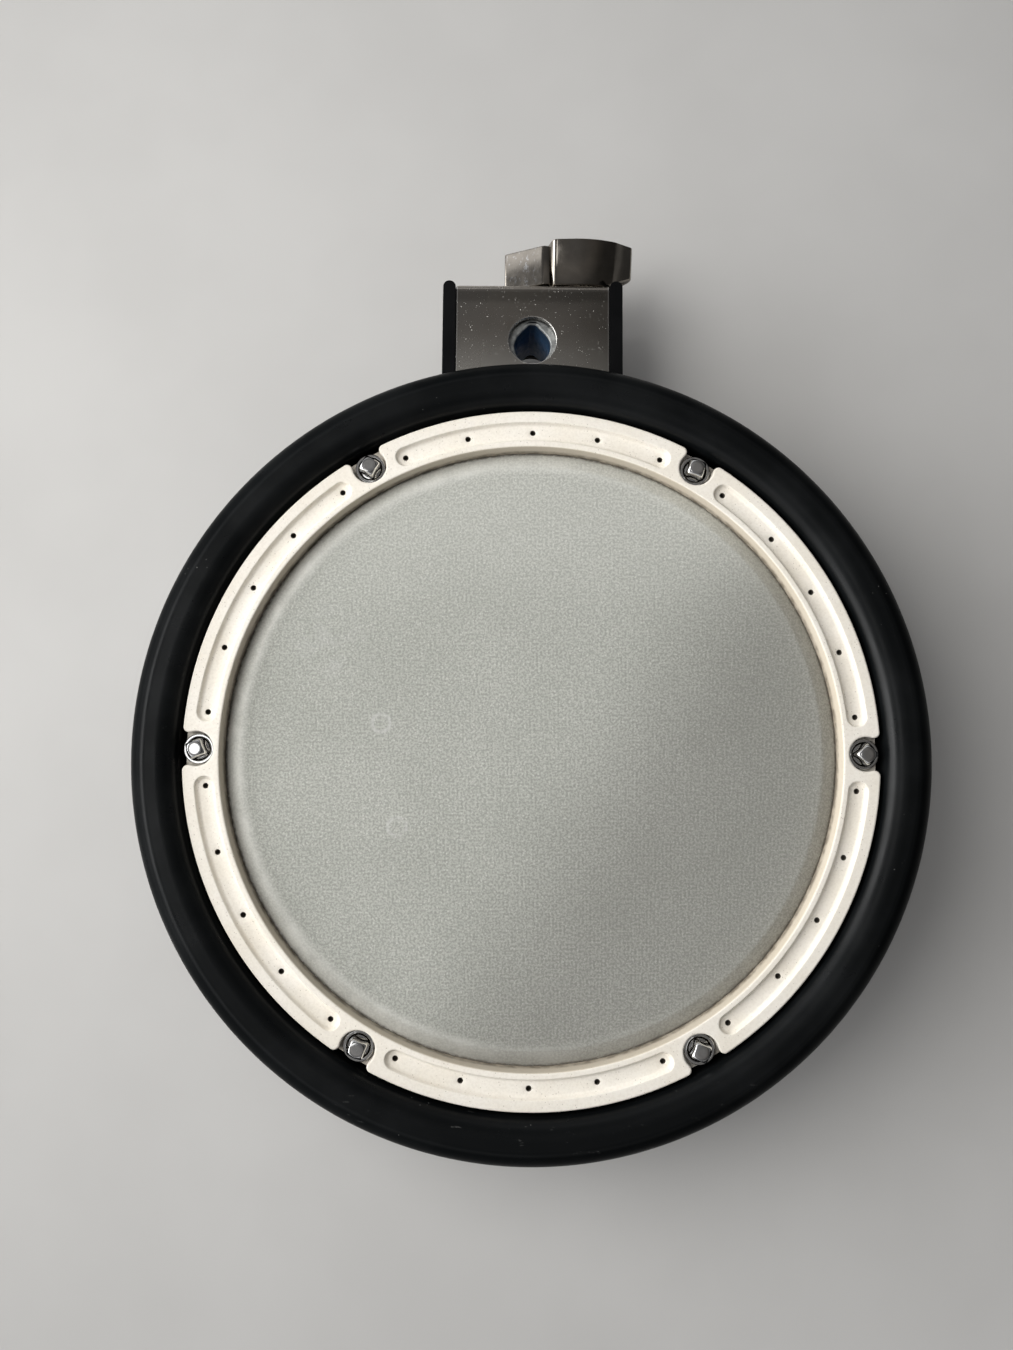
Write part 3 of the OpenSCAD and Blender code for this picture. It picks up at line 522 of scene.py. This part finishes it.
def notch_loop():
    """The hoop's edge round one lug, from the near corner to the far one, lug on +X."""
    corner_v = NOTCH_HALF + CORNER_R
    corner_u = math.sqrt((HOOP_R - CORNER_R) ** 2 - corner_v**2)
    lean = math.degrees(math.atan2(corner_v, corner_u))
    neck = math.degrees(math.asin(NOTCH_HALF / NOTCH_R))
    return (
        arc(corner_u, -corner_v, CORNER_R, -lean, 90, 8)
        + arc(LUG_CIRCLE, 0, NOTCH_R, -neck, neck - 360, 40)
        + arc(corner_u, corner_v, CORNER_R, -90, lean, 8)
    ), lean


def pocket_loop():
    """A long slot that follows the hoop, its round ends at the last vents."""
    angle = 2 * VENT_STEP
    tip_x, tip_y = POCKET_R * math.cos(math.radians(angle)), POCKET_R * math.sin(math.radians(angle))
    outer = arc(0, 0, POCKET_R + POCKET_HALF_W, -angle, angle, 64)
    inner = arc(0, 0, POCKET_R - POCKET_HALF_W, angle, -angle, 64)
    far = arc(tip_x, tip_y, POCKET_HALF_W, angle, angle + 180, 16)[1:-1]
    near = arc(tip_x, -tip_y, POCKET_HALF_W, 180 - angle, 360 - angle, 16)[1:-1]
    return outer + far + inner + near


def cast_hoop():
    bm = bmesh.new()
    notch, lean = notch_loop()
    gap = math.degrees(TAU / LUGS)
    outer, starts = [], []
    for i in range(LUGS):
        starts.append(len(outer))
        outer += turned(notch, TAU * i / LUGS)
        outer += arc(0, 0, HOOP_R, i * gap + lean, (i + 1) * gap - lean, 60)[1:-1]
    edge = rounding(0.6, HOOP_TOP, steps=4, support=0.25)
    low, outer_top = skirt(bm, outer, [(0.0, LEDGE_Z)] + edge)
    inner = circle(0, 0, HOOP_IN_R, 360)
    inner_low, inner_top = skirt(bm, inner, [(0.0, HOOP_BOTTOM)] + edge, True)

    # The pockets: soft top edge, sloping wall, round foot, and a floor with five vents
    pocket_wall = [
        (-0.35, 0.0), (0.0, 0.0), (0.14, -0.03), (0.27, -0.13), (0.36, -0.3),
        (0.58, -0.95), (0.75, -1.3), (1.0, -1.6), (1.3, -1.75), (1.6, -POCKET_DEPTH),
    ]
    floor_z = HOOP_TOP - POCKET_DEPTH
    pocket_tops = []
    for i in range(LUGS):
        middle = TAU * (i + 0.5) / LUGS
        loop = turned(pocket_loop(), middle)
        top, floor = skirt(bm, loop, [(d, HOOP_TOP + z) for d, z in pocket_wall], True)
        pocket_tops.append(top)
        vents = []
        for k in range(-2, 3):
            a = middle + math.radians(k * VENT_STEP)
            vent = circle(POCKET_R * math.cos(a), POCKET_R * math.sin(a), VENT_R, 20)
            sink = [(-0.28, floor_z), (-0.1, floor_z - 0.07), (0.0, floor_z - 0.25), (0.0, floor_z - 3.4)]
            rim, bottom = skirt(bm, vent, sink, True)
            vents.append(rim)
            fill(bm, bottom)
        fill(bm, floor, *vents)
    fill(bm, outer_top, inner_top, *pocket_tops)

    # The ledges under the cups, and the plain wall below them
    loop, bores = [], []
    for i, start in enumerate(starts):
        middle = math.degrees(TAU * i / LUGS)
        mouth = arc(0, 0, HOOP_R, middle - lean, middle + lean, 10)[1:-1]
        rim = [bm.verts.new((x, y, LEDGE_Z)) for x, y in mouth]
        bore = circle(*lug_matrix(i).to_translation().xy, 3.1, 32)
        bore_top, bore_low = skirt(bm, bore, [(0.0, LEDGE_Z), (0.0, HOOP_BOTTOM)], True)
        end = start + len(notch)
        fill(bm, low[start:end] + rim[::-1], bore_top)
        following = starts[i + 1] if i + 1 < LUGS else len(low)
        loop += [low[start]] + rim + low[end - 1:following]
        bores.append(bore_low)
    base = [bm.verts.new((v.co.x, v.co.y, HOOP_BOTTOM)) for v in loop]
    for i in range(len(loop)):
        j = (i + 1) % len(loop)
        bm.faces.new((base[i], base[j], loop[j], loop[i]))
    fill(bm, base, inner_low, *bores)
    return make("cast_hoop", bm, 32.0)


hoop = stands_for(cast_hoop(), "hoop_set", "hoop_paint", "hoop")


# ---------------------------------------------------------------- mesh head

HEAD_Z, CREST_BEND, SLOPE = 60.8, 3.45, 24.0


def mesh_head():
    """The cloth: flat, bent over the bearing edge, sloping to the hoop and down inside it."""
    bend_z = HEAD_Z - CREST_BEND
    bend = arc(CREST_R, bend_z, CREST_BEND, 90, 90 - SLOPE, 5)
    skirt_r = HOOP_IN_R - 0.1
    end_x, end_z = bend[-1]
    foot_z = end_z - (skirt_r - end_x) * math.tan(math.radians(SLOPE))
    top = [(0.0, HEAD_Z)] + [(r, HEAD_Z) for r in (15, 30, 45, 60, 75, 86, 93)] + bend
    top += [(skirt_r - 0.9, foot_z + 0.36), (skirt_r, foot_z - 0.5), (skirt_r, 52.0)]
    # The underside lies below the flat and the slope, and inside the collar
    cloth = 0.42
    under = [
        (r - cloth * (r > CREST_R + 5), z - cloth * (r <= CREST_R + 5.2))
        for r, z in top
    ]
    return lathe("mesh_head", top + under[::-1], 288)


head = stands_for(mesh_head(), "hoop_set", "mesh", "head_mesh")


# ---------------------------------------------------------------- rubber rim ring


def rubber_ring():
    """A hollow-backed ring whose crown falls away outwards and to a lip by the hoop."""
    rim_r, top, lip_r = 133.5, 70.0, 117.3
    profile = (
        [(122.0, 47.2)]
        + arc(rim_r - 5.2, 51.4, 4.2, -90, -10, 8)
        + [(rim_r - 0.35, 54.5), (rim_r - 0.1, 57.5)]
        + arc(rim_r - 9.4, top - 9.0, 9.4, 0, 78, 18)
        + arc(lip_r + 6.4, top - 6.9, 6.9, 84, 168, 14)
        + [(lip_r + 0.02, 60.2), (lip_r + 0.1, 50.2), (lip_r + 0.5, 49.3), (119.0, 49.2)]
        + [(119.0, 59.0), (120.0, 60.0), (121.0, 60.0), (122.0, 59.0)]
    )
    profile = [(min(r, rim_r), min(z, top)) for r, z in profile]
    return lathe("rubber_ring", profile, 320)


stands_for(rubber_ring(), "root", "rim_rubber", "rubber_rim")


# ---------------------------------------------------------------- bolts and cups


def square_ring(bm, half, power, z, place, count=48):
    """A ring from round (power 2) to nearly square (power 9)."""
    ring = []
    for i in range(count):
        a = TAU * i / count + TAU / (2 * count)
        r = half / (abs(math.cos(a)) ** power + abs(math.sin(a)) ** power) ** (1 / power)
        ring.append(bm.verts.new(place @ Vector((r * math.cos(a), r * math.sin(a), z))))
    return ring


def loft_into(bm, rings):
    for low, high in zip(rings, rings[1:]):
        for i in range(len(low)):
            j = (i + 1) % len(low)
            bm.faces.new((low[i], low[j], high[j], high[i]))
    bm.faces.new(rings[0])
    bm.faces.new(rings[-1])


def tension_bolt(i):
    """A threaded shank, a round flange and a square head with a worn, rounded top."""
    seat = LEDGE_Z + 0.6
    pitch = 1.0583
    # Each level: height, half width, and 2 where it is round, up to 9 where it is square
    levels = [(34.0, 1.85, 2), (34.9, 2.5, 2)]
    for k in range(int(20 / pitch)):
        z = 35.2 + k * pitch
        levels += [(z, 2.74, 2), (z + 0.5 * pitch, 2.42, 2)]
    levels += [(57.0, 2.6, 2), (seat, 2.6, 2)]
    levels += [(seat, 3.35, 2), (seat + 0.12, 3.55, 2), (seat + 0.3, 3.6, 2), (seat + 0.6, 3.58, 2)]
    levels += [(seat + 0.85, 3.4, 2), (seat + 0.9, 3.1, 2.4), (seat + 0.92, 2.82, 7), (seat + 1.1, 2.8, 9)]
    levels += [(seat + 4.9, 2.8, 9), (seat + 5.2, 2.77, 7), (seat + 5.6, 2.66, 4.5), (seat + 5.9, 2.53, 3)]
    levels += [(seat + 6.08, 2.42, 2.2), (seat + 6.17, 2.32, 2), (seat + 6.2, 2.22, 2), (seat + 6.2, 1.2, 2)]
    bm = bmesh.new()
    twist = Matrix.Rotation(math.radians(BOLT_TURNS[i]), 4, "Z")
    place = lug_matrix(i) @ twist
    loft_into(bm, [square_ring(bm, half, power, z, place) for z, half, power in levels])
    return make(f"tension_bolt_part_{i + 1}", bm)


# How far each square head stands turned, in degrees
BOLT_TURNS = (45.0, 12.0, 30.0, 22.0, 8.0, 38.0)
for lug in range(LUGS):
    stands_for(tension_bolt(lug), f"bolt_{lug + 1}", "bright_steel", f"tension_bolt_{lug + 1}")


def bolt_cup_set():
    """Six shallow cups on the hoop's ledges, with a bright rolled rim."""
    bm = bmesh.new()
    floor, lip_z = LEDGE_Z + 0.6, LEDGE_Z + 2.0
    profile = [(3.1, LEDGE_Z), (4.8, LEDGE_Z), (5.02, LEDGE_Z + 0.18), (5.1, LEDGE_Z + 0.5)]
    profile += [(5.1, lip_z - 0.3), (5.06, lip_z - 0.12), (4.94, lip_z - 0.02), (4.85, lip_z)]
    profile += [(4.25, lip_z), (4.16, lip_z - 0.02), (4.06, lip_z - 0.12), (4.03, lip_z - 0.3)]
    profile += [(4.0, floor + 0.4), (3.92, floor + 0.12), (3.7, floor), (3.1, floor)]
    for i in range(LUGS):
        lathe_into(bm, profile, 56, lug_matrix(i))
    return make("bolt_cup_set", bm)


stands_for(bolt_cup_set(), "hoop_set", "bright_steel", "bolt_cups")


# ---------------------------------------------------------------- rod holder

TO_X = Matrix(((0, 0, 1, 0), (1, 0, 0, 0), (0, 1, 0, 0), (0, 0, 0, 1)))
TO_Y = Matrix(((1, 0, 0, 0), (0, 0, 1, 0), (0, 1, 0, 0), (0, 0, 0, 1)))


def rounded_rect(x0, y0, x1, y1, r, steps=8):
    return (
        arc(x1 - r, y0 + r, r, -90, 0, steps) + arc(x1 - r, y1 - r, r, 0, 90, steps)
        + arc(x0 + r, y1 - r, r, 90, 180, steps) + arc(x0 + r, y0 + r, r, 180, 270, steps)
    )


def cut(obj, *cutters):
    """Takes the cutters out of obj, and removes them."""
    for cutter in cutters:
        modifier = obj.modifiers.new("cut", "BOOLEAN")
        modifier.operation, modifier.solver, modifier.object = "DIFFERENCE", "EXACT", cutter
    graph = bpy.context.evaluated_depsgraph_get()
    result = bpy.data.meshes.new_from_object(obj.evaluated_get(graph))
    obj.modifiers.clear()
    obj.data = result
    for cutter in cutters:
        bpy.data.objects.remove(cutter)
    return obj


def holder_box():
    """A bent sheet box, open at both sides, with holes for the rod, the shank and the screws."""
    sheet, bend_r = 2.0, 3.0
    bm = bmesh.new()
    outer = rounded_rect(BOX_NEAR, BOX_LOW, BOX_FAR, BOX_TOP, bend_r)
    inner = rounded_rect(BOX_NEAR + sheet, BOX_LOW + sheet, BOX_FAR - sheet, BOX_TOP - sheet, bend_r - sheet)
    plate_into(bm, outer, [inner], -BOX_HALF, BOX_HALF, 0.35, 0.25, 3)
    bmesh.ops.transform(bm, matrix=TO_X, verts=bm.verts)
    box = make("holder_box_sheet", bm)
    flare = arc(ROD_HOLE_R + 0.35, BOX_TOP - 0.35, 0.35, 180, 90, 4)
    profile = [(0, 5), (ROD_HOLE_R, 5)] + flare + [(ROD_HOLE_R + 0.36, 50), (0, 50)]
    rod_hole = lathe("rod_hole", profile, 72)
    rod_hole.data.transform(Matrix.Translation((0, ROD_Y * MM, 0)))
    shank_hole = lathe("shank_hole", [(0, 160), (4.4, 160), (4.4, 180), (0, 180)], 40)
    shank_hole.data.transform(Matrix.Translation((0, 0, AXIS_Z * MM)) @ TO_Y)
    screw_holes = bmesh.new()
    for x, dz in ((-20, -8.5), (-20, 8.5), (20, -8.5), (20, 8.5)):
        place = Matrix.Translation((x, 0, AXIS_Z + dz)) @ TO_Y
        lathe_into(screw_holes, [(0, 128), (2, 128), (2, 138), (0, 138)], 24, place)
    return cut(box, rod_hole, shank_hole, make("screw_holes", screw_holes))


stands_for(holder_box(), "root", "holder_steel", "holder_box")


def eye_outline():
    """The eye's opening: a round seat that narrows to a small flat on the nut's side."""
    seat_r, touch = 6.6, 35.0
    return (
        arc(0, 0, seat_r, 180 - touch, 360 + touch, 48)
        + [(3.6, 5.85), (1.5, 7.95), (0.8, 8.3), (-0.8, 8.3), (-1.5, 7.95), (-3.6, 5.85)]
    )


def eye_bolt():
    """A tall ring with a threaded shank towards the wing nut."""
    ring_r = 10.3
    low, high = AXIS_Z - EYE_HALF_H, AXIS_Z + EYE_HALF_H
    bm = bmesh.new()
    plate_into(bm, circle(0, 0, ring_r, 72), [eye_outline()], low, high, 1.3, 0.7, 4)
    bmesh.ops.translate(bm, vec=(0, EYE_Y, 0), verts=bm.verts)
    place = Matrix.Translation((0, 0, AXIS_Z)) @ TO_Y
    shank = [(0, 156.4), (6.2, 156.4), (5.4, 157.9), (4.3, 160.1), (3.95, 161.4), (3.95, 168.5)]
    pitch = 1.25
    for k in range(int(17.0 / pitch)):
        y = 168.9 + k * pitch
        shank += [(3.98, y), (3.98, y + 0.15), (3.42, y + 0.6)]
    shank += [(3.8, 185.8), (3.3, 186.5), (0, 186.5)]
    lathe_into(bm, shank, 40, place)
    return make("eye_bolt_part", bm)


stands_for(eye_bolt(), "eye", "zinc", "eye_bolt", look="eye")


def wing_nut():
    """A long curved wing and a short flat one on a round hub, seen along the bolt."""
    hub_r, bore_r = 9.2, 4.06
    short = (
        [(-8.6, 1.3), (-10.15, 3.35), (-10.4, 4.0), (-10.4, 4.9), (-10.1, 5.35)]
        + [(-9.83, 5.484), (3.13, 11.916), (3.4, 12.05), (4.3, 12.3)]
        + [(6.2, 12.0), (6.6, 11.2)] + arc(0, 0, 7.5, 30, 165, 24)
    )
    long = (
        [(4.6, 7.6), (4.9, 12.2), (5.6, 12.6)]
        + arc(9.4, 14.6, 2.9, 165, 95, 6)
        + arc(16.6, -22.4, 40.2, 94, 70, 16)
        + arc(35.6, 10.6, 1.5, 55, -115, 8)
        + arc(19.4, -12, 24.4, 60, 95, 12)
        + [(15.3, 11.2), (13.4, 9.4), (11.6, 6.7), (10.3, 4.6), (8.4, 3.2), (6.9, 4.0)]
    )
    near, wing_near, far = 172.7, 172.9, 187.8
    tilt, drop = math.radians(22), 1.5
    corner_from, wing_end, corner_depth = 27.0, 38.0, 5.2
    bm = bmesh.new()
    plate_into(bm, long[::-1], [], wing_near, far, 0.45, 0.35, 3)
    # The long wing rises away from the pad, and its near corner is cut off
    for v in bm.verts:
        start = wing_near + corner_depth * max(0.0, (v.co.x - corner_from) / (wing_end - corner_from))
        v.co.z = far - (far - v.co.z) * (far - start) / (far - wing_near)
        v.co.y = v.co.y / math.cos(tilt) - drop + math.tan(tilt) * (v.co.z - far)
    plate_into(bm, short[::-1], [], wing_near, far, 0.4, 0.35, 3)
    hub = [(bore_r, near), (hub_r - 0.4, near), (hub_r, near + 0.4)]
    hub += [(hub_r, far - 0.5), (hub_r - 0.5, far), (bore_r, far)]
    lathe_into(bm, hub, 64)
    bmesh.ops.transform(bm, matrix=Matrix.Translation((0, 0, AXIS_Z)) @ TO_Y, verts=bm.verts)
    return make("wing_nut_part", bm)


stands_for(wing_nut(), "nut", "nut_chrome", "wing_nut")


# ---------------------------------------------------------------- foam under the head


def foam_piece(name, levels, count=48):
    """A turned foam piece whose sides bulge a little and are slightly uneven."""
    dice = random.Random(7)
    bm = bmesh.new()
    lathe_into(bm, levels, count)
    for v in bm.verts:
        if math.hypot(v.co.x, v.co.y) > 1.0:
            grow = 1 + 0.006 * (dice.random() - 0.5)
            v.co.x *= grow
            v.co.y *= grow
    return make(name, bm, 60.0)


cone = foam_piece("foam_cone_part", [
    (0, 34.95), (11.6, 34.95), (11.9, 35.4), (11.2, 38.5), (10.0, 43.0), (8.6, 48.0),
    (7.2, 53.0), (6.0, 57.0), (5.3, 59.2), (4.9, 59.8), (4.2, 59.95), (0, 59.95),
])
stands_for(cone, "root", "foam", "foam_cone")
pad = foam_piece("sensor_pad_part", [
    (0, 28.5), (19.4, 28.5), (19.8, 28.8), (19.95, 30.0), (20.0, 31.2), (19.95, 32.5), (19.8, 33.7),
    (19.4, 34.0), (0, 34.0),
])
stands_for(pad, "root", "foam", "sensor_pad")


# ---------------------------------------------------------------- floor, light, camera


def floor():
    half, height = 4000.0, -0.3
    bm = bmesh.new()
    corners = [(-half, -half), (half, -half), (half, half), (-half, half)]
    bm.faces.new([bm.verts.new((x, y, height)) for x, y in corners])
    plane = make("floor", bm)
    p = Paint("floor", Roughness=0.85)
    soft = p.fit(p.noise(90.0, 3.0), 0.3, 0.7)
    plane.data.materials.append(p.finish(p.blend(soft, (0.56, 0.555, 0.545), (0.59, 0.585, 0.575))))


def area_light(name, place, aim, size, watts, color=(1.0, 1.0, 1.0), mirrored=False):
    """A soft round light, mirrored in the metal parts or not."""
    data = bpy.data.lights.new(name, "AREA")
    data.shape, data.size = "DISK", size
    data.energy, data.color = watts, color
    lamp = bpy.data.objects.new(name, data)
    lamp.location = place
    lamp.rotation_euler = (Vector(aim) - Vector(place)).to_track_quat("-Z", "Y").to_euler()
    lamp.visible_glossy = mirrored
    bpy.context.scene.collection.objects.link(lamp)


def world_light():
    """Bright low surroundings on the left, dark ones above and on the right."""
    world = bpy.data.worlds.new("surroundings")
    world.use_nodes = True
    tree = world.node_tree
    background = tree.nodes["Background"]
    where = tree.nodes.new("ShaderNodeTexCoord")
    axes = tree.nodes.new("ShaderNodeSeparateXYZ")
    tree.links.new(where.outputs["Generated"], axes.inputs[0])

    def ramp(axis, low, high, stops):
        shift = tree.nodes.new("ShaderNodeMapRange")
        tree.links.new(axes.outputs[axis], shift.inputs["Value"])
        shift.inputs["From Min"].default_value = low
        shift.inputs["From Max"].default_value = high
        made = tree.nodes.new("ShaderNodeValToRGB")
        tree.links.new(shift.outputs[0], made.inputs["Fac"])
        elements = made.color_ramp.elements
        while len(elements) < len(stops):
            elements.new(0.5)
        for element, (position, color) in zip(elements, stops):
            element.position, element.color = position, (*color, 1.0)
        return made.outputs["Color"]

    side = ramp("X", -1.0, 1.0, SIDE_STOPS)
    height = ramp("Z", 0.0, 1.0, HEIGHT_STOPS)
    product = tree.nodes.new("ShaderNodeMix")
    product.data_type, product.blend_type = "RGBA", "MULTIPLY"
    product.inputs["Factor"].default_value = 1.0
    tree.links.new(side, product.inputs["A"])
    tree.links.new(height, product.inputs["B"])
    tree.links.new(product.outputs["Result"], background.inputs["Color"])
    background.inputs["Strength"].default_value = 10.0
    bpy.context.scene.world = world


# Colour of the surroundings at places from -X to +X, and from the horizon to straight above
SIDE_STOPS = (
    (0.0, (1.0, 1.0, 1.0)), (0.065, (0.9, 0.9, 0.9)), (0.095, (0.17, 0.17, 0.172)),
    (0.3, (0.09, 0.09, 0.091)), (0.5, (0.072, 0.072, 0.073)), (0.72, (0.030, 0.029, 0.028)),
    (1.0, (0.012, 0.012, 0.012)),
)
HEIGHT_STOPS = (
    (0.0, (0.40, 0.40, 0.40)), (0.34, (0.45, 0.45, 0.45)), (0.42, (0.95, 0.95, 0.95)),
    (0.50, (0.80, 0.80, 0.80)), (0.56, (0.17, 0.17, 0.17)), (0.84, (0.13, 0.13, 0.13)),
    (0.93, (0.27, 0.26, 0.25)), (1.0, (0.18, 0.18, 0.18)),
)


def camera():
    """Just above the pad and almost square to it, as a hand-held wide lens sees it."""
    data = bpy.data.cameras.new("camera")
    data.sensor_fit, data.sensor_height, data.lens = "VERTICAL", 36.0, 27.04
    data.clip_start = 0.01
    back = (Vector(CAMERA_PLACE) - Vector(CAMERA_AIM)).normalized()
    picture_up = Matrix.Rotation(math.radians(CAMERA_ROLL), 3, "Z") @ Vector((0, 1, 0))
    right = picture_up.cross(back).normalized()
    turn = Matrix((right, back.cross(right), back)).transposed().to_4x4()
    seen = bpy.data.objects.new("camera", data)
    seen.matrix_world = Matrix.Translation(CAMERA_PLACE) @ turn
    bpy.context.scene.collection.objects.link(seen)
    bpy.context.scene.camera = seen


# In metres, and degrees against the clock
CAMERA_PLACE = (-0.00695, -0.00490, 0.40200)
CAMERA_AIM = (-0.00832, 0.02564, 0.06200)
CAMERA_ROLL = 0.492

floor()
area_light("key", (-0.34, 0.13, 0.55), (0, 0, 0.05), 0.45, 2.7, (1.0, 0.985, 0.955))
area_light("overhead", (-0.1, 0.35, 1.5), (0, 0, 0.05), 1.2, 2.0)
area_light("ceiling lamp", (-0.55, 0.0, 1.5), (-0.1, 0, 0.05), 0.5, 0.85, mirrored=True)
world_light()
camera()
bpy.context.scene.view_settings.view_transform = "Standard"
